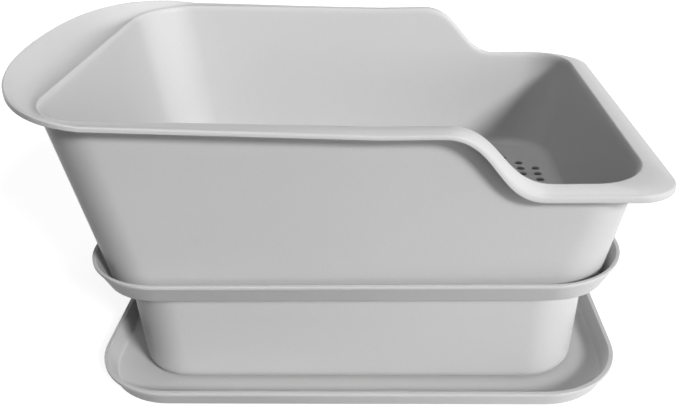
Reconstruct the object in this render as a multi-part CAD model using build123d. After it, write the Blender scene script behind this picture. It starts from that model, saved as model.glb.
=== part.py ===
from build123d import *
from math import cos, pi, radians, sin, tan
import os

# Sifting litter box: three plastic mouldings that stack and lift apart by hand.
# A base tray stands on the floor, a catch pan stands in the tray, and a sifting
# tub sits on the ledge inside the pan's collar. Litter dust falls through the
# holes in the tub's floor into the pan.
# Millimetres, +Z up. The origin is the middle of the tray's flat underside. +X is
# the low entry end, -X the end with the handle lip, and Y is the width.
# Each moulding is one skin: a ruled loft through closed rails that run from the
# underside up the outside, over the rim and down the inside to the floor.

# Base tray
tray_length = 478.4
tray_width = 363.4
tray_corner = 72.0
tray_height = 19.0
tray_flare = 7.7
tray_wall = 2.2
tray_floor = 2.5
tray_foot_radius = 4.0
tray_inner_radius = 3.0
tray_bead = 1.8
tray_bead_depth = 3.0

# Catch pan: body and ledge
pan_height = 103.7
pan_corner = 50.0
pan_flare = 3.8
pan_wall = 2.5
pan_floor = 2.5
pan_foot_radius = 12.0
ledge_seat = 9.4
ledge_edge_radius = 1.5

# Catch pan: collar round the foot of the tub
collar_height = 19.5
collar_flare = 11.5
collar_clearance = 2.3
collar_radius = 3.0
collar_bead = 0.8
collar_bead_depth = 2.5

# Sifting tub: foot and walls
tub_length = 433.3
tub_width = 316.8
tub_corner = 48.3
tub_wall = 2.6
tub_floor = 3.0
tub_foot_radius = 10.0
tub_inner_radius = 9.0
front_draft_angle = 8.75
rear_draft_angle = 9.0
side_draft_angle = 7.3

# Sifting tub: crest of the rim, as heights above the tub's underside
entry_height = 110.0
side_height = 160.8
rear_height = 167.6
front_crest_corner = 44.0
rear_crest_corner = 55.0

# Sifting tub: runs along the rim and set-backs from the ends of its foot
dip_setback = 59.8
dip_run = 83.2
level_run = 48.4
lip_corner_setback = 27.2
lip_flat_width = 12.0

# Sifting tub: flange and handle lip, outward from the crest
front_reach = 22.0
entry_reach = 9.0
side_reach = 13.0
rear_reach = 47.8
front_lip_corner = 36.0
entry_drop = 8.8
side_drop = 3.0
rear_side_rise = 1.4
rear_rise = 17.8
flange_crown = 1.2
handle_dip = 11.0
front_skirt = 3.5
side_skirt = 3.0
rear_side_skirt = 5.0
rear_skirt = 9.0
lip_radius = 2.0
crest_roll = 6.0
root_depth = 8.0

# Sifting tub: holes in its floor, in rows and columns either side of the middle.
# The pattern keeps its borders and its number of holes when the tub's size changes.
hole_width = 7.8
hole_end_border = 21.0
hole_side_border = 29.7
hole_columns = 12
hole_rows = 9
hole_corner_steps = 3
hole_sides = 4

# Shares that set curves and sections
arc_share = 0.5523
lip_arc_share = 0.62
dip_share = 0.5
lean_share = 0.5
handle_share = 0.2
lip_edge_share = 0.4
girth_share = 0.8
collar_corner_share = 1.4
under_shares = (0.3, 0.65)
flange_shares = (0.65, 0.3, 0.0)

fillet_steps = 2
edge_steps = 1
cut_overrun = 1.0

# Heights of the stack
pan_base = tray_floor
tub_base = pan_base + pan_height

# Places along the tub's rim, from its middle
dip_foot = tub_length / 2 - dip_setback
dip_head = dip_foot - dip_run
rise_start = dip_head - level_run
lip_corner_start = tub_length / 2 - lip_corner_setback
lip_flat_half = lip_flat_width / 2

# Spacing of the holes
hole_pitch_x = (tub_length / 2 - hole_end_border) / hole_columns
hole_pitch_y = (tub_width / 2 - hole_side_border) / hole_rows


def arc(across, up, radius, start, end, steps=fillet_steps):
    """Pairs (across, up) along an arc about a centre, between two angles."""
    turns = [radians(start + (end - start) * step / steps) for step in range(steps + 1)]
    return [(across + radius * cos(turn), up + radius * sin(turn)) for turn in turns]


def rounded_rails(length, width, corner, profile, corner_share=1):
    """Rounded rectangles, each grown by its offset and set at its height."""
    rails = []
    for grow, height in profile:
        rounding = corner + grow * corner_share
        outline = RectangleRounded(length + 2 * grow, width + 2 * grow, rounding)
        rails.append((Pos(0, 0, height) * outline).wire())
    return rails


def skin(rails):
    """One closed moulding through its rails, capped flat underneath and on its floor."""
    return Solid.make_loft(rails, ruled=True)


# Base tray
def make_tray():
    length = tray_length - 2 * tray_flare
    width = tray_width - 2 * tray_flare
    wall_top = tray_flare - tray_bead
    bead_foot = tray_height - tray_bead_depth
    bead_radius = tray_bead_depth / 2
    profile = arc(-tray_foot_radius, tray_foot_radius, tray_foot_radius, -90, 0, edge_steps)
    profile += [(wall_top, bead_foot), (tray_flare, bead_foot)]
    profile += arc(
        tray_flare - bead_radius, tray_height - bead_radius, bead_radius, 0, 90, edge_steps
    )
    profile += [(wall_top - tray_wall, tray_height)]
    profile += arc(
        -tray_wall - tray_inner_radius,
        tray_floor + tray_inner_radius,
        tray_inner_radius,
        0,
        -90,
        edge_steps,
    )
    return skin(rounded_rails(length, width, tray_corner - tray_flare, profile))


# Catch pan
def make_pan():
    length = tub_length - 2 * (ledge_seat + pan_flare)
    width = tub_width - 2 * (ledge_seat + pan_flare)
    ledge_under = pan_height - pan_wall
    outer_body = arc(-pan_foot_radius, pan_foot_radius, pan_foot_radius, -90, 0)
    outer_body += [(pan_flare, ledge_under)]

    collar_out = collar_clearance + pan_wall
    collar_top = pan_height + collar_height
    rim_out = collar_out + collar_flare
    wall_out = rim_out - collar_bead
    bead_foot = collar_top - collar_bead_depth
    bead_radius = collar_bead_depth / 2
    collar = arc(
        collar_out - collar_radius, ledge_under + collar_radius, collar_radius, -90, 0, edge_steps
    )
    collar += [(wall_out, bead_foot), (rim_out, bead_foot)]
    collar += arc(rim_out - bead_radius, collar_top - bead_radius, bead_radius, 0, 90, edge_steps)
    collar += [(wall_out - pan_wall, collar_top)]
    collar += arc(
        collar_clearance - collar_radius,
        pan_height + collar_radius,
        collar_radius,
        0,
        -90,
        edge_steps,
    )

    mouth = pan_flare - pan_wall
    inner_radius = pan_foot_radius - pan_wall
    inner_body = arc(
        mouth + ledge_edge_radius,
        pan_height - ledge_edge_radius,
        ledge_edge_radius,
        90,
        180,
        edge_steps,
    )
    inner_body += arc(-pan_wall - inner_radius, pan_floor + inner_radius, inner_radius, 0, -90)

    rails = rounded_rails(length, width, pan_corner, outer_body)
    rails += rounded_rails(tub_length, tub_width, tub_corner, collar, collar_corner_share)
    rails += rounded_rails(length, width, pan_corner, inner_body)
    return Pos(0, 0, pan_base) * skin(rails)


# Sifting tub: seven knots on one side of each rail, front to rear. They are the ends
# of the front straight, front corner, entry side, dip, level side, rising side and
# rear corner. Ways point outward at each knot.
ways = [Vector(1, 0), *[Vector(0, 1)] * 5, Vector(-1, 0)]
crest_heights = [entry_height] * 3 + [side_height] * 2 + [rear_height] * 2
reaches = [front_reach] + [entry_reach] * 2 + [side_reach] * 3 + [rear_reach]
drops = [entry_drop] * 3 + [side_drop] * 2 + [-rear_side_rise, -rear_rise]
skirts = [front_skirt] * 2 + [side_skirt] * 3 + [rear_side_skirt, rear_skirt]
bulges = [flange_crown] * 5
bulges += [flange_crown - (flange_crown + handle_dip) * handle_share, -handle_dip]


def front_face(height):
    return tub_length / 2 + height * tan(radians(front_draft_angle))


def rear_face(height):
    return tub_length / 2 + height * tan(radians(rear_draft_angle))


def side_face(height):
    return tub_width / 2 + height * tan(radians(side_draft_angle))


def wall_corner(crest_corner, height):
    return tub_corner + (crest_corner - tub_corner) * height / side_height


def lean_dip(knots):
    """Shift the dip rearward with depth below the crest, so the wall keeps its thickness."""
    for index in (2, 3):
        depth = crest_heights[index] - knots[index].Z
        knots[index] -= Vector(depth * lean_share, 0, 0)
    return knots


def wall_knots(heights, inset):
    """Knots on the tub's drafted outer face at seven heights, moved inward by the inset."""
    front, entry, foot, head, rise, side, rear = heights
    rear_side = rear_face(side) - wall_corner(rear_crest_corner, side)
    rear_end = side_face(rear) - wall_corner(rear_crest_corner, rear)
    knots = [
        Vector(front_face(front), side_face(front) - wall_corner(front_crest_corner, front), front),
        Vector(front_face(entry) - wall_corner(front_crest_corner, entry), side_face(entry), entry),
        Vector(dip_foot, side_face(foot), foot),
        Vector(dip_head, side_face(head), head),
        Vector(rise_start, side_face(rise), rise),
        Vector(-rear_side, side_face(side), side),
        Vector(-rear_face(rear), rear_end, rear),
    ]
    return [knot - way * inset for knot, way in zip(knots, ways)]


def level_knots(height, inset):
    return wall_knots([height] * 7, inset)


def crest_knots(depth, inset):
    return lean_dip(wall_knots([height - depth for height in crest_heights], inset))


def lip_knots():
    """Knots on the flange's outer edge, at its top."""
    lips = [crest + way * reach for crest, way, reach in zip(wall_knots(crest_heights, 0), ways, reaches)]
    lips[0] = Vector(lips[0].X, lips[1].Y - front_lip_corner, lips[0].Z)
    lips[1] = Vector(lips[0].X - front_lip_corner, lips[1].Y, lips[1].Z)
    lips[5] = Vector(-lip_corner_start, lips[5].Y, lips[5].Z)
    lips[6] = Vector(lips[6].X, lip_flat_half, lips[6].Z)
    return [lip - Vector(0, 0, drop) for lip, drop in zip(lips, drops)]


def flange_knots(share, inset, depth):
    """Knots part of the way from crest to lip, moved inward and set under the top skin."""
    knots = []
    crests = wall_knots(crest_heights, 0)
    for crest, lip, way, reach, bulge in zip(crests, lip_knots(), ways, reaches, bulges):
        along = share - inset / reach
        place = crest + (lip - crest) * share - way * inset
        top = crest.Z + (lip.Z - crest.Z) * along + bulge * sin(pi * along)
        knots.append(Vector(place.X, place.Y, top - depth))
    return lean_dip(knots)


def skirt_knots(share, inset):
    """Knots on the turned-down edge, part of the way down it."""
    edge = zip(lip_knots(), ways, skirts)
    return lean_dip([lip - way * inset - Vector(0, 0, skirt * share) for lip, way, skirt in edge])


def corner_edge(start, end, via, pull_share):
    start_pull = start + (via - start) * pull_share
    end_pull = end + (via - end) * pull_share
    return Edge.make_bezier(start, start_pull, end_pull, end)


def dip_edge(foot, head):
    run = Vector((head.X - foot.X) * dip_share, 0, 0)
    return Edge.make_bezier(foot, foot + run, head - run, head)


def tub_rail(knots, share):
    """Closed rail through the knots and their mirrors, a share of the way from crest to lip."""
    rear_share = arc_share + (lip_arc_share - arc_share) * share
    halves = []
    for side in (1, -1):
        k = [Vector(knot.X, knot.Y * side, knot.Z) for knot in knots]
        front_via = Vector(k[0].X, k[1].Y, k[1].Z)
        rear_via = Vector(k[6].X, k[5].Y, k[6].Z)
        edges = [corner_edge(k[0], k[1], front_via, arc_share), Edge.make_line(k[1], k[2])]
        edges += [dip_edge(k[2], k[3]), Edge.make_line(k[3], k[4]), Edge.make_line(k[4], k[5])]
        edges += [corner_edge(k[5], k[6], rear_via, rear_share)]
        halves.append((edges, k))
    (far, far_knots), (near, near_knots) = halves
    front = Edge.make_line(near_knots[0], far_knots[0])
    rear = Edge.make_line(far_knots[6], near_knots[6])
    return Wire([front, *far, rear, *reversed(near)])


def tub_rails():
    """Every rail of the tub, from its underside round the rim to its floor."""
    girth_height = entry_height * girth_share
    outer = arc(-tub_foot_radius, tub_foot_radius, tub_foot_radius, -90, 0)
    rows = [(level_knots(height, -grow), 0) for grow, height in outer]
    rows += [(level_knots(girth_height, 0), 0), (crest_knots(root_depth, 0), 0)]
    rows += [(flange_knots(share, 0, tub_wall), share) for share in under_shares]
    rows += [(flange_knots(1, tub_wall, tub_wall), 1), (skirt_knots(1, tub_wall), 1)]
    rows += [(skirt_knots(1, 0), 1), (skirt_knots(lip_edge_share, 0), 1)]
    rows += [(flange_knots(1, lip_radius, 0), 1)]
    rows += [(flange_knots(share, 0, 0), share) for share in flange_shares]
    roll = arc(0, -crest_roll, crest_roll, 90, 0)[1:]
    rows += [(crest_knots(-up, across * tub_wall / crest_roll), 0) for across, up in roll]
    rows += [(level_knots(girth_height, tub_wall), 0)]
    inner = arc(-tub_wall - tub_inner_radius, tub_floor + tub_inner_radius, tub_inner_radius, 0, -90)
    rows += [(level_knots(height, -grow), 0) for grow, height in inner]
    return [tub_rail(knots, share) for knots, share in rows]


def sieve_places():
    """Hole centres on the tub's floor, with each corner of the pattern stepped off."""
    places = []
    for column in range(-hole_columns, hole_columns + 1):
        steps_in = max(0, abs(column) - (hole_columns - hole_corner_steps))
        last_row = hole_rows - steps_in
        for row in range(-last_row, last_row + 1):
            places.append((column * hole_pitch_x, row * hole_pitch_y))
    return places


def make_tub():
    shell = skin(tub_rails())
    hole = RegularPolygon(hole_width / 2, hole_sides, major_radius=False, rotation=180 / hole_sides)
    drill = Pos(0, 0, -cut_overrun) * extrude(hole, tub_floor + 2 * cut_overrun)
    drills = [Pos(x, y, 0) * drill for x, y in sieve_places()]
    return Pos(0, 0, tub_base) * (shell - drills)


os.makedirs("parts", exist_ok=True)
export_step(make_tray(), "parts/base_tray.step")
export_step(make_pan(), "parts/catch_pan.step")
export_step(make_tub(), "parts/sifting_tub.step")
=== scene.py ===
from math import cos, pi, radians, sin, tan

import bmesh
import bpy
from mathutils import Matrix, Vector
from mathutils.geometry import delaunay_2d_cdt


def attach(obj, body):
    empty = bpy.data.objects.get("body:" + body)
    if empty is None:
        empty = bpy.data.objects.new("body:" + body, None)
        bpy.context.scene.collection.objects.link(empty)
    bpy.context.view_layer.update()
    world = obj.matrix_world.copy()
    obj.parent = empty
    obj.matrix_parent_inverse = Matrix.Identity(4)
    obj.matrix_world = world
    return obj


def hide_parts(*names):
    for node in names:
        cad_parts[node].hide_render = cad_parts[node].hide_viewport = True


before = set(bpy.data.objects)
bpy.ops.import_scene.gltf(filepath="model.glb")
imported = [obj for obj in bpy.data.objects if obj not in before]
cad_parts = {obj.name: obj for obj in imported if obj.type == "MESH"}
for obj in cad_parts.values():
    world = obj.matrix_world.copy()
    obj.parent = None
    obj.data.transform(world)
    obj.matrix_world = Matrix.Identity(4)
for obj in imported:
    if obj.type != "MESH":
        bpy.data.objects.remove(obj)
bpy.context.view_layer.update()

# Sifting litter box: base tray, catch pan and sifting tub, each one moulded skin.
# The part's sizes are those of the CAD part, in millimetres, and MM turns them to metres.
# +X is the low entry end, -X the end with the handle lip, +Z is up.
MM = 0.001

# Base tray
tray_length = 478.4
tray_width = 363.4
tray_corner = 72.0
tray_height = 19.0
tray_flare = 7.7
tray_wall = 2.2
tray_floor = 2.5
tray_foot_radius = 4.0
tray_inner_radius = 3.0
tray_bead = 1.8
tray_bead_depth = 3.0

# Catch pan
pan_height = 103.7
pan_corner = 50.0
pan_flare = 3.8
pan_wall = 2.5
pan_floor = 2.5
pan_foot_radius = 12.0
ledge_seat = 9.4
ledge_edge_radius = 1.5
collar_height = 19.5
collar_flare = 11.5
collar_clearance = 2.3
collar_radius = 3.0
collar_bead = 0.8
collar_bead_depth = 2.5

# Sifting tub: the dip, the rise and the lip's corner start at places counted along X
tub_length = 433.3
tub_width = 316.8
tub_corner = 48.3
tub_wall = 2.6
tub_floor = 3.0
tub_foot_radius = 10.0
tub_inner_radius = 9.0
front_draft_angle = 8.75
rear_draft_angle = 9.0
side_draft_angle = 7.3
entry_height = 110.0
side_height = 160.8
rear_height = 167.6
front_crest_corner = 44.0
rear_crest_corner = 55.0
dip_foot = 156.85
dip_head = 73.65
rise_start = 25.25
lip_corner_start = 189.45
lip_flat_half = 6.0
front_reach = 22.0
entry_reach = 9.0
side_reach = 13.0
rear_reach = 47.8
front_lip_corner = 36.0
entry_drop = 8.8
side_drop = 3.0
rear_side_rise = 1.4
rear_rise = 17.8
flange_crown = 1.2
handle_dip = 11.0
front_skirt = 3.5
side_skirt = 3.0
rear_side_skirt = 5.0
rear_skirt = 9.0
lip_radius = 2.0
crest_roll = 6.0
root_depth = 8.0

# Sieve
hole_radius = 4.3
hole_end_border = 21.0
hole_side_border = 29.7
hole_columns = 12
hole_rows = 9
hole_corner_steps = 3

# Shares that set curves and sections
arc_share = 0.5523
lip_arc_share = 0.62
dip_share = 0.5
lean_share = 0.5
handle_share = 0.2
lip_edge_share = 0.4
under_share = 0.3
girth_share = 0.8
collar_corner_share = 1.4

# Small roundings and bevels that the CAD part leaves out
edge_round = 0.5
lip_round = 0.6
lip_round_rise = 0.15
lip_round_inset = 0.4
collar_bead_round = collar_bead / 3
hole_bevel = 0.6
hole_bevel_share = 0.3

# Reach of the flat rings, from a foot's corner before rounding to the face in the middle
tray_outer_ring = 12.0
tray_inner_ring = 18.0
pan_outer_ring = 24.0
pan_inner_ring = 28.5

# Steps along the rails, front to rear, and round the fillets and holes
corner_steps = 16
wall_steps = 6
end_steps = 6
front_corner_steps = 14
entry_steps = 4
dip_steps = 22
rise_steps = 7
side_steps = 9
rear_corner_steps = 22
flange_steps = 14
lip_edge_steps = 5
fillet_steps = 7
small_steps = 3
hole_sides = 16

pan_base = tray_floor
tub_base = pan_base + pan_height


# Points along lines and curves
def line(start, end, count):
    """Even points from start up to, but without, end."""
    return [start.lerp(end, step / count) for step in range(count)]


def bezier(start, pull, push, end, count):
    """Points along a cubic curve from start up to, but without, end."""
    points = []
    for step in range(count):
        gone = step / count
        left = 1 - gone
        first_half = start * left**3 + pull * (3 * left * left * gone)
        points.append(first_half + push * (3 * left * gone * gone) + end * gone**3)
    return points


def corner_curve(start, via, end, share, count):
    """Points round a corner from start up to, but without, end, drawn towards via."""
    return bezier(start, start.lerp(via, share), end.lerp(via, share), end, count)


def arc(across, up, radius, start, end):
    """Pairs (across, up) along an arc about a centre, between two angles in degrees."""
    shares = [step / fillet_steps for step in range(fillet_steps + 1)]
    turns = [radians(start + (end - start) * share) for share in shares]
    return [(across + radius * cos(turn), up + radius * sin(turn)) for turn in turns]


def between(low, high, count):
    """Rails from low to high, without low itself."""
    shares = [step / count for step in range(1, count + 1)]
    return [[start.lerp(end, share) for start, end in zip(low, high)] for share in shares]


# Rings of vertices, bands of faces and finished pieces
def ring(skin, points, base=0.0):
    """Vertices at points in millimetres, raised by base."""
    places = [(point.x * MM, point.y * MM, (point.z + base) * MM) for point in points]
    return [skin.verts.new(place) for place in places]


def bridge(skin, low, high):
    """A band of faces between two closed rings of vertices."""
    count = len(low)
    for here in range(count):
        ahead = (here + 1) % count
        skin.faces.new((low[here], low[ahead], high[ahead], high[here]))


def finish_piece(skin, name, body, node):
    """Turn the mesh into a smooth piece that rides a body and stands for its CAD node."""
    for face in skin.faces:
        face.smooth = True
    mesh = bpy.data.meshes.new(name)
    skin.to_mesh(mesh)
    skin.free()
    piece = bpy.data.objects.new(name, mesh)
    bpy.context.scene.collection.objects.link(piece)
    normals = piece.modifiers.new("even_normals", "WEIGHTED_NORMAL")
    normals.keep_sharp = True
    normals.weight = 50
    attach(piece, body)
    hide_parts(node)
    return piece


# Tray and pan: rounded rectangles that follow a section with softened corners
def soften(section):
    """Points (across, up, rounding) along a section, each corner rounded by its radius."""
    points = [section[0]]
    for before, here, after in zip(section, section[1:], section[2:]):
        across, up, rounding, radius, count = here
        corner = Vector((across, up))
        back = Vector(before[:2]) - corner
        ahead = Vector(after[:2]) - corner
        half_turn = back.angle(ahead) / 2
        back = back.normalized()
        ahead = ahead.normalized()
        reach = radius / tan(half_turn)
        middle = corner + (back + ahead).normalized() * (radius / sin(half_turn))
        start = corner + back * reach - middle
        end = corner + ahead * reach - middle
        sweep = pi - 2 * half_turn
        for step in range(count + 1):
            gone = step / count
            spoke = (start * sin((1 - gone) * sweep) + end * sin(gone * sweep)) / sin(sweep)
            points.append((middle.x + spoke.x, middle.y + spoke.y, rounding))
    points.append(section[-1])
    return points


def rounded_rail(length, width, across, up, rounding):
    """Rounded rectangle grown across; rounding is its corner radius and how fast that grows."""
    offset, share = rounding
    corner = offset + across * share
    half_x = length / 2 + across - corner
    half_y = width / 2 + across - corner
    turns = [90 * step / corner_steps for step in range(corner_steps + 1)]
    corners = []
    for quarter, (side_x, side_y) in enumerate(((1, 1), (-1, 1), (-1, -1), (1, -1))):
        centre = Vector((side_x * half_x, side_y * half_y, up))
        angles = [radians(90 * quarter + turn) for turn in turns]
        spokes = [Vector((corner * cos(angle), corner * sin(angle), 0)) for angle in angles]
        corners.append([centre + spoke for spoke in spokes])
    points = []
    for here, ahead in zip(corners, corners[1:] + corners[:1]):
        points += here + line(here[-1], ahead[0], wall_steps)[1:]
    return points


def stacked_piece(name, body, node, length, width, section, base):
    """One closed skin whose section runs from its underside round the rim to its floor."""
    skin = bmesh.new()
    rings = []
    for across, up, rounding in soften(section):
        rings.append(ring(skin, rounded_rail(length, width, across, up, rounding), base))
    for low, high in zip(rings, rings[1:]):
        bridge(skin, low, high)
    skin.faces.new(list(reversed(rings[0])))
    skin.faces.new(rings[-1])
    return finish_piece(skin, name, body, node)


# A section's rows are across, up and rounding, and at a corner its radius and steps too
def make_tray():
    """Low tray with a flared wall and a bead round its rim."""
    wall_top = tray_flare - tray_bead
    bead_foot = tray_height - tray_bead_depth
    rounding = (tray_corner - tray_flare, 1)
    section = [
        (-tray_outer_ring, 0, rounding),
        (0, 0, rounding, tray_foot_radius, fillet_steps),
        (wall_top, bead_foot, rounding, edge_round, small_steps),
        (tray_flare, bead_foot, rounding, edge_round, small_steps),
        (tray_flare, tray_height, rounding, edge_round, small_steps),
        (wall_top - tray_wall, tray_height, rounding, edge_round, small_steps),
        (-tray_wall, tray_floor, rounding, tray_inner_radius, fillet_steps),
        (-tray_wall - tray_inner_ring, tray_floor, rounding),
    ]
    length = tray_length - 2 * tray_flare
    width = tray_width - 2 * tray_flare
    return stacked_piece("tray_shell", "tray", "base_tray", length, width, section, 0)


def make_pan():
    """Deep pan with a flat ledge for the tub and a flared collar with a bead."""
    ledge_under = pan_height - pan_wall
    body = -(ledge_seat + pan_flare)
    body_round = (pan_corner - body, 1)
    collar_round = (tub_corner, collar_corner_share)
    draft = pan_flare / (ledge_under - pan_foot_radius)
    collar_out = collar_clearance + pan_wall
    collar_top = pan_height + collar_height
    rim_out = collar_out + collar_flare
    wall_out = rim_out - collar_bead
    bead_foot = collar_top - collar_bead_depth
    inner_radius = pan_foot_radius - pan_wall
    outer_foot = body - draft * pan_foot_radius
    section = [
        (outer_foot - pan_outer_ring, 0, body_round),
        (outer_foot, 0, body_round, pan_foot_radius, fillet_steps),
        (body + pan_flare, ledge_under, body_round, ledge_edge_radius, small_steps),
        (collar_out, ledge_under, collar_round, collar_radius, fillet_steps),
        (wall_out, bead_foot, collar_round, collar_bead_round, small_steps),
        (rim_out, bead_foot, collar_round, collar_bead_round, small_steps),
        (rim_out, collar_top, collar_round, edge_round, small_steps),
        (wall_out - pan_wall, collar_top, collar_round, edge_round, small_steps),
        (collar_clearance, pan_height, collar_round, collar_radius, fillet_steps),
        (body + pan_flare - pan_wall, pan_height, body_round, ledge_edge_radius, fillet_steps),
        (outer_foot - pan_wall, pan_floor, body_round, inner_radius, fillet_steps),
        (outer_foot - pan_wall - pan_inner_ring, pan_floor, body_round),
    ]
    return stacked_piece("pan_shell", "pan", "catch_pan", tub_length, tub_width, section, pan_base)


# Sifting tub: seven knots on one side of each rail, front to rear, as in the CAD part
dip_knots = (2, 3)
ways = [Vector((1, 0, 0))] + [Vector((0, 1, 0))] * 5 + [Vector((-1, 0, 0))]
crest_heights = [entry_height] * 3 + [side_height] * 2 + [rear_height] * 2
reaches = [front_reach] + [entry_reach] * 2 + [side_reach] * 3 + [rear_reach]
drops = [entry_drop] * 3 + [side_drop] * 2 + [-rear_side_rise, -rear_rise]
skirts = [front_skirt] * 2 + [side_skirt] * 3 + [rear_side_skirt, rear_skirt]
rear_side_bulge = flange_crown - (flange_crown + handle_dip) * handle_share
bulges = [flange_crown] * 5 + [rear_side_bulge, -handle_dip]


def front_face(height):
    return tub_length / 2 + height * tan(radians(front_draft_angle))


def rear_face(height):
    return tub_length / 2 + height * tan(radians(rear_draft_angle))


def side_face(height):
    return tub_width / 2 + height * tan(radians(side_draft_angle))


def wall_corner(crest_corner, height):
    """Set-back of a corner's ends at a height, between its sizes at the foot and the crest."""
    return tub_corner + (crest_corner - tub_corner) * height / side_height


def lean_dip(knots):
    """Shift the dip rearward with depth below the crest, so the wall keeps its thickness."""
    for index in dip_knots:
        depth = crest_heights[index] - knots[index].z
        knots[index] = knots[index] - Vector((depth * lean_share, 0, 0))
    return knots


def wall_knots(heights, inset):
    """Knots on the outer wall, each at its own height, moved inward by the inset.

    They are the front end, the entry, the foot and head of the dip, the start of the rise,
    the side and the rear end.
    """
    front, entry, foot, head, rise, side, rear = heights
    front_end = side_face(front) - wall_corner(front_crest_corner, front)
    entry_end = front_face(entry) - wall_corner(front_crest_corner, entry)
    rear_side = rear_face(side) - wall_corner(rear_crest_corner, side)
    rear_end = side_face(rear) - wall_corner(rear_crest_corner, rear)
    knots = [
        Vector((front_face(front), front_end, front)),
        Vector((entry_end, side_face(entry), entry)),
        Vector((dip_foot, side_face(foot), foot)),
        Vector((dip_head, side_face(head), head)),
        Vector((rise_start, side_face(rise), rise)),
        Vector((-rear_side, side_face(side), side)),
        Vector((-rear_face(rear), rear_end, rear)),
    ]
    return [knot - way * inset for knot, way in zip(knots, ways)]


def level_knots(height, inset):
    return wall_knots([height] * len(ways), inset)


def crest_knots(depth, inset):
    """Knots at a depth under the crest, which keep its S."""
    return lean_dip(wall_knots([height - depth for height in crest_heights], inset))


def lip_knots():
    """Knots on the outer edge of the flange's top, without its crown."""
    crests = wall_knots(crest_heights, 0)
    lips = [crest + way * reach for crest, way, reach in zip(crests, ways, reaches)]
    front, entry, _, _, _, side, rear = lips
    front.y = entry.y - front_lip_corner
    entry.x = front.x - front_lip_corner
    side.x = -lip_corner_start
    rear.y = lip_flat_half
    return [lip - Vector((0, 0, drop)) for lip, drop in zip(lips, drops)]


def flange_knots(share, inset, depth):
    """Knots part of the way from crest to lip, moved inward and set under the top skin."""
    knots = []
    crests = wall_knots(crest_heights, 0)
    for crest, lip, way, reach, bulge in zip(crests, lip_knots(), ways, reaches, bulges):
        along = share - inset / reach
        place = crest + (lip - crest) * share - way * inset
        top = crest.z + (lip.z - crest.z) * along + bulge * sin(pi * along)
        knots.append(Vector((place.x, place.y, top - depth)))
    return lean_dip(knots)


def flange_depth(share):
    """Thickness of the flange, which grows towards the wall as a fillet."""
    if share >= under_share:
        return tub_wall
    return tub_wall + (root_depth - tub_wall) * (1 - share / under_share) ** 2


def skirt_knots(lift, inset):
    """Knots on the turned-down edge, at a lift above its bottom."""
    knots = []
    for lip, way, skirt in zip(lip_knots(), ways, skirts):
        knots.append(lip - way * inset - Vector((0, 0, skirt - lift)))
    return lean_dip(knots)


def edge_knots(turn):
    """Knots round the outer edge of the lip, from its top at 0 degrees to its side at 90."""
    out = sin(radians(turn))
    down = 1 - cos(radians(turn))
    knots = flange_knots(1, lip_radius, 0)
    for index, (lip, way, skirt) in enumerate(zip(lip_knots(), ways, skirts)):
        fall = (knots[index].z - lip.z + skirt * lip_edge_share) * down
        knots[index] = knots[index] + way * (lip_radius * out) - Vector((0, 0, fall))
        if index in dip_knots:
            knots[index].x -= fall * lean_share
    return knots


def lip_rows():
    """Knots of the lip, from the flange's underside round the skirt's bottom to its top."""
    rise = lip_round * lip_round_rise
    inset = lip_round * lip_round_inset
    turns = [90 - 90 * step / lip_edge_steps for step in range(lip_edge_steps + 1)]
    return [
        flange_knots(1, tub_wall, tub_wall),
        skirt_knots(lip_round, tub_wall),
        skirt_knots(rise, tub_wall - inset),
        skirt_knots(0, tub_wall / 2),
        skirt_knots(rise, inset),
        skirt_knots(lip_round, 0),
        *[edge_knots(turn) for turn in turns],
    ]


def tub_rail(knots, share=0):
    """Closed rail through the knots and their mirrors, a share of the way from crest to lip."""
    front, entry, foot, head, rise, side, rear = knots
    front_via = Vector((front.x, entry.y, entry.z))
    rear_via = Vector((rear.x, side.y, rear.z))
    front_middle = Vector((front.x, 0, front.z))
    rear_middle = Vector((rear.x, 0, rear.z))
    run = Vector(((head.x - foot.x) * dip_share, 0, 0))
    rear_share = arc_share + (lip_arc_share - arc_share) * share
    half = line(front_middle, front, end_steps)
    half += corner_curve(front, front_via, entry, arc_share, front_corner_steps)
    half += line(entry, foot, entry_steps)
    half += bezier(foot, foot + run, head - run, head, dip_steps)
    half += line(head, rise, rise_steps)
    half += line(rise, side, side_steps)
    half += corner_curve(side, rear_via, rear, rear_share, rear_corner_steps)
    half += line(rear, rear_middle, end_steps) + [rear_middle]
    near = [Vector((point.x, -point.y, point.z)) for point in reversed(half[1:-1])]
    return half + near


def tub_rows():
    """Every rail of the tub, from its underside round the rim to its floor."""
    girth_height = entry_height * girth_share
    outer = arc(-tub_foot_radius, tub_foot_radius, tub_foot_radius, -90, 0)
    rows = [tub_rail(level_knots(height, -grow)) for grow, height in outer]
    rows.append(tub_rail(level_knots(girth_height, 0)))
    rows += between(rows[-1], tub_rail(crest_knots(root_depth, 0)), wall_steps)

    shares = [step / flange_steps for step in range(1, flange_steps)]
    for share in shares:
        rows.append(tub_rail(flange_knots(share, share * tub_wall, flange_depth(share)), share))
    rows += [tub_rail(knots, 1) for knots in lip_rows()]
    for share in reversed(shares):
        rows.append(tub_rail(flange_knots(share, share * lip_radius, 0), share))
    rows.append(tub_rail(flange_knots(0, 0, 0)))

    roll = arc(0, -crest_roll, crest_roll, 90, 0)[1:]
    rows += [tub_rail(crest_knots(-up, across * tub_wall / crest_roll)) for across, up in roll]
    rows += between(rows[-1], tub_rail(level_knots(girth_height, tub_wall)), wall_steps)
    centre_up = tub_floor + tub_inner_radius
    inner = arc(-tub_wall - tub_inner_radius, centre_up, tub_inner_radius, 0, -90)
    rows += [tub_rail(level_knots(height, -grow)) for grow, height in inner]
    return rows


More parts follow.
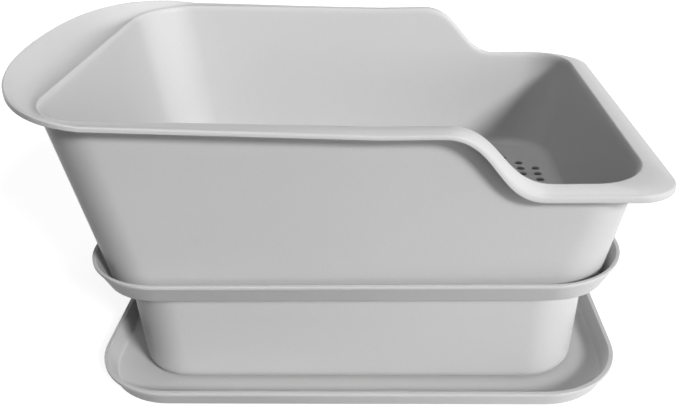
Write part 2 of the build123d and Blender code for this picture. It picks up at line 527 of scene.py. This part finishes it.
# Sieve in the tub's floor
def sieve_places():
    """Hole centres on the tub's floor, with each corner of the pattern stepped off."""
    pitch_x = (tub_length / 2 - hole_end_border) / hole_columns
    pitch_y = (tub_width / 2 - hole_side_border) / hole_rows
    places = []
    for column in range(-hole_columns, hole_columns + 1):
        steps_in = max(0, abs(column) - (hole_columns - hole_corner_steps))
        last_row = hole_rows - steps_in
        for row in range(-last_row, last_row + 1):
            places.append((column * pitch_x, row * pitch_y))
    return places


def hole_section():
    """Pairs (radius, height) down a hole's wall, with a small bevel at its top and bottom."""
    eased = hole_bevel * hole_bevel_share
    wide = hole_radius + hole_bevel
    return [
        (wide, tub_floor),
        (hole_radius + eased, tub_floor - eased),
        (hole_radius, tub_floor - hole_bevel),
        (hole_radius, hole_bevel),
        (hole_radius + eased, eased),
        (wide, 0),
    ]


def fill_round_holes(skin, outline, rims, up):
    """Triangles between an outline and the rims of the holes, facing up or down."""
    verts = list(outline)
    edges = [(i, (i + 1) % len(outline)) for i in range(len(outline))]
    hole_of = [None] * len(outline)
    for number, rim in enumerate(rims):
        first = len(verts)
        verts += rim
        edges += [(first + i, first + (i + 1) % len(rim)) for i in range(len(rim))]
        hole_of += [number] * len(rim)
    flat = [Vector((vert.co.x, vert.co.y)) for vert in verts]
    inside_only = 1
    same_place = 1e-9
    _, _, faces, origins, _, _ = delaunay_2d_cdt(flat, edges, [], inside_only, same_place)
    for face in faces:
        places = [origins[i][0] for i in face]
        holes = {hole_of[i] for i in places}
        # A triangle whose corners are all on one rim would close that hole
        if len(holes) == 1 and None not in holes:
            continue
        corners = [verts[i] for i in places]
        start, middle, end = [corner.co for corner in corners]
        if ((middle - start).cross(end - start).z > 0) != up:
            corners.reverse()
        skin.faces.new(corners)


def make_tub():
    """Deep tub with a sieve floor, an S in its crest and a rolled flange."""
    skin = bmesh.new()
    rings = [ring(skin, row, tub_base) for row in tub_rows()]
    for low, high in zip(rings, rings[1:]):
        bridge(skin, low, high)
    turns = [2 * pi * step / hole_sides for step in range(hole_sides)]
    tops, bottoms = [], []
    for x, y in sieve_places():
        circles = []
        for radius, height in hole_section():
            spokes = [(radius * cos(turn), radius * sin(turn)) for turn in turns]
            points = [Vector((x + out_x, y + out_y, height)) for out_x, out_y in spokes]
            circles.append(ring(skin, points, tub_base))
        for upper, lower in zip(circles, circles[1:]):
            bridge(skin, upper, lower)
        tops.append(circles[0])
        bottoms.append(circles[-1])
    fill_round_holes(skin, rings[-1], tops, True)
    fill_round_holes(skin, rings[0], bottoms, False)
    return finish_piece(skin, "tub_shell", "tub", "sifting_tub")


# Shader nodes that several materials use
def feed(tree, value, socket):
    """Link a node's output to a socket, or set a plain number or colour on it."""
    if isinstance(value, bpy.types.NodeSocket):
        tree.links.new(value, socket)
    else:
        socket.default_value = value


def noise(tree, place, scale, detail, roughness):
    node = tree.nodes.new("ShaderNodeTexNoise")
    feed(tree, place, node.inputs["Vector"])
    feed(tree, scale, node.inputs["Scale"])
    feed(tree, detail, node.inputs["Detail"])
    feed(tree, roughness, node.inputs["Roughness"])
    return node.outputs["Fac"]


def spread(tree, value, source, target):
    """Map a value from the source range to the target range, and hold it within that."""
    node = tree.nodes.new("ShaderNodeMapRange")
    feed(tree, value, node.inputs["Value"])
    feed(tree, source[0], node.inputs["From Min"])
    feed(tree, source[1], node.inputs["From Max"])
    feed(tree, target[0], node.inputs["To Min"])
    feed(tree, target[1], node.inputs["To Max"])
    return node.outputs["Result"]


def calculate(tree, operation, first, second):
    node = tree.nodes.new("ShaderNodeMath")
    node.operation = operation
    feed(tree, first, node.inputs[0])
    feed(tree, second, node.inputs[1])
    return node.outputs["Value"]


def grey(tree, value):
    """A colour whose three channels are the value."""
    node = tree.nodes.new("ShaderNodeCombineColor")
    for channel in ("Red", "Green", "Blue"):
        tree.links.new(value, node.inputs[channel])
    return node.outputs["Color"]


def mix(tree, factor, first, second, blend="MIX"):
    node = tree.nodes.new("ShaderNodeMix")
    node.data_type = "RGBA"
    node.blend_type = blend
    feed(tree, factor, node.inputs["Factor"])
    feed(tree, first, node.inputs["A"])
    feed(tree, second, node.inputs["B"])
    return node.outputs["Result"]


def seen(tree):
    """1 where a camera, glossy or transmission ray looks, otherwise 0."""
    path = tree.nodes.new("ShaderNodeLightPath").outputs
    first = calculate(tree, "MAXIMUM", path["Is Camera Ray"], path["Is Glossy Ray"])
    return calculate(tree, "MAXIMUM", first, path["Is Transmission Ray"])


# Plastic: noises are scale, detail and roughness, tints multiply the tone, depth is in metres
plastic_tone = 0.578
plastic_ior = 1.49
plastic_specular = 0.15
flow_noise = (5.0, 2.0, 0.5)
grain_noise = (420.0, 3.0, 0.6)
etch_noise = (1500.0, 2.0, 0.6)
noise_middle = (0.3, 0.7)
dark_tint = (0.985, 0.985, 0.988)
light_tint = (1.015, 1.015, 1.012)
grain_shade = (0.985, 1.0)
flow_roughness = (0.32, 0.36)
grain_roughness = (0.0, 0.04)
etch_strength = 0.12
etch_depth = 0.0002


def moulded_plastic(name, offset):
    """Satin polypropylene: slow flow shading, fine etched texture, uneven sheen."""
    material = bpy.data.materials.new(name)
    material.use_nodes = True
    tree = material.node_tree
    shader = tree.nodes["Principled BSDF"].inputs
    shader["IOR"].default_value = plastic_ior
    shader["Specular IOR Level"].default_value = plastic_specular
    shift = tree.nodes.new("ShaderNodeMapping")
    feed(tree, tree.nodes.new("ShaderNodeTexCoord").outputs["Object"], shift.inputs["Vector"])
    feed(tree, offset, shift.inputs["Location"])
    place = shift.outputs["Vector"]
    whole = (0.0, 1.0)
    flow = spread(tree, noise(tree, place, *flow_noise), noise_middle, whole)
    grain = spread(tree, noise(tree, place, *grain_noise), noise_middle, whole)
    etch = noise(tree, place, *etch_noise)

    dark = (*[plastic_tone * part for part in dark_tint], 1)
    light = (*[plastic_tone * part for part in light_tint], 1)
    shade = grey(tree, spread(tree, grain, noise_middle, grain_shade))
    colour = mix(tree, 1.0, mix(tree, flow, dark, light), shade, "MULTIPLY")
    feed(tree, colour, shader["Base Color"])

    flow_part = spread(tree, flow, noise_middle, flow_roughness)
    grain_part = spread(tree, grain, noise_middle, grain_roughness)
    feed(tree, calculate(tree, "ADD", flow_part, grain_part), shader["Roughness"])

    bump = tree.nodes.new("ShaderNodeBump")
    feed(tree, etch_strength, bump.inputs["Strength"])
    feed(tree, etch_depth, bump.inputs["Distance"])
    feed(tree, etch, bump.inputs["Height"])
    feed(tree, bump.outputs["Normal"], shader["Normal"])
    return material


# Pieces: each one's plastic is shifted, so its marks lie elsewhere than on the others
tray = make_tray()
pan = make_pan()
tub = make_tub()
tray.data.materials.append(moulded_plastic("plastic_tray", (0.3, 0.1, 0.0)))
pan.data.materials.append(moulded_plastic("plastic_pan", (1.7, 0.4, 0.2)))
tub.data.materials.append(moulded_plastic("plastic_tub", (0.0, 0.0, 0.0)))

# Floor, in metres: pale where seen, with the part's shadow; bounced light fades towards -X
floor_half = 6.0
floor_drop = 0.0002
floor_roughness = 0.9
floor_fade_place = (-0.1, 0.3)
floor_fade_tone = (0.02, 0.85)
seen_tone = 0.4
seen_glow = 0.86


def pale_floor():
    material = bpy.data.materials.new("pale_floor")
    material.use_nodes = True
    tree = material.node_tree
    shader = tree.nodes["Principled BSDF"].inputs
    shader["Roughness"].default_value = floor_roughness
    shader["Specular IOR Level"].default_value = 0.0
    shader["Emission Color"].default_value = (1, 1, 1, 1)
    place = tree.nodes.new("ShaderNodeSeparateXYZ")
    feed(tree, tree.nodes.new("ShaderNodeTexCoord").outputs["Object"], place.inputs["Vector"])
    bounced = grey(tree, spread(tree, place.outputs["X"], floor_fade_place, floor_fade_tone))
    looked_at = seen(tree)
    tint = mix(tree, looked_at, bounced, (seen_tone, seen_tone, seen_tone, 1))
    feed(tree, tint, shader["Base Color"])
    feed(tree, calculate(tree, "MULTIPLY", looked_at, seen_glow), shader["Emission Strength"])
    return material


def make_floor():
    mesh = bpy.data.meshes.new("floor")
    corners = [(-floor_half, -floor_half, 0), (floor_half, -floor_half, 0)]
    corners += [(floor_half, floor_half, 0), (-floor_half, floor_half, 0)]
    mesh.from_pydata(corners, [], [(0, 1, 2, 3)])
    mesh.materials.append(pale_floor())
    plane = bpy.data.objects.new("floor", mesh)
    bpy.context.scene.collection.objects.link(plane)
    plane.location.z = -floor_drop
    return plane


floor = make_floor()

# World: a soft low light from the +X -Y side, and white where it is seen
bright_way = (0.68, -0.51, -0.53)
bright_share = (0.55, 1.0)
room_strength = (0.03, 5.8)


def soft_room():
    room = bpy.data.worlds.new("soft_room")
    room.use_nodes = True
    tree = room.node_tree
    toward = tree.nodes.new("ShaderNodeVectorMath")
    toward.operation = "DOT_PRODUCT"
    feed(tree, tree.nodes.new("ShaderNodeTexCoord").outputs["Generated"], toward.inputs[0])
    feed(tree, bright_way, toward.inputs[1])
    glow = grey(tree, spread(tree, toward.outputs["Value"], bright_share, room_strength))
    sky = mix(tree, seen(tree), glow, (1, 1, 1, 1))
    feed(tree, sky, tree.nodes["Background"].inputs["Color"])
    return room


bpy.context.scene.world = soft_room()


# Lamps: height and side angles in degrees, the side counted from -Y towards +X
def add_lamp(name, height, side, spread_angle, strength, glints=True):
    """A soft far lamp that shines on the part from a height and a side."""
    height, side = radians(height), radians(side)
    way = Vector((cos(height) * sin(side), -cos(height) * cos(side), sin(height)))
    lamp = bpy.data.lights.new(name, "SUN")
    lamp.angle = radians(spread_angle)
    lamp.energy = strength * pi
    lamp_object = bpy.data.objects.new(name, lamp)
    bpy.context.scene.collection.objects.link(lamp_object)
    lamp_object.rotation_mode = "QUATERNION"
    lamp_object.rotation_quaternion = way.to_track_quat("Z", "Y")
    lamp_object.visible_glossy = glints


add_lamp("key", height=30, side=38, spread_angle=12, strength=0.90)
add_lamp("top", height=76, side=0, spread_angle=30, strength=0.22)
add_lamp("back", height=4, side=180, spread_angle=10, strength=0.45, glints=False)

# Camera at the photograph's angle: place in metres, yaw, pitch and roll in radians
camera_place = (0.03107, -0.69327, 0.47339)
yaw, pitch, roll = -0.0425, 0.4773, -0.0270
camera_data = bpy.data.cameras.new("camera")
camera = bpy.data.objects.new("camera", camera_data)
bpy.context.scene.collection.objects.link(camera)
forward = Vector((sin(yaw) * cos(pitch), cos(yaw) * cos(pitch), -sin(pitch)))
level_right = Vector((cos(yaw), -sin(yaw), 0))
level_up = level_right.cross(forward)
right = level_right * cos(roll) + level_up * sin(roll)
up = level_up * cos(roll) - level_right * sin(roll)
view = Matrix((right, up, -forward)).transposed().to_4x4()
view.translation = Vector(camera_place)
camera.matrix_world = view
camera_data.sensor_width = 36.0
camera_data.lens = 40.56
camera_data.shift_x = -0.0288
camera_data.shift_y = -0.0054
camera_data.clip_start = 0.01
camera_data.clip_end = 50.0
bpy.context.scene.camera = camera
bpy.context.scene.view_settings.view_transform = "Standard"
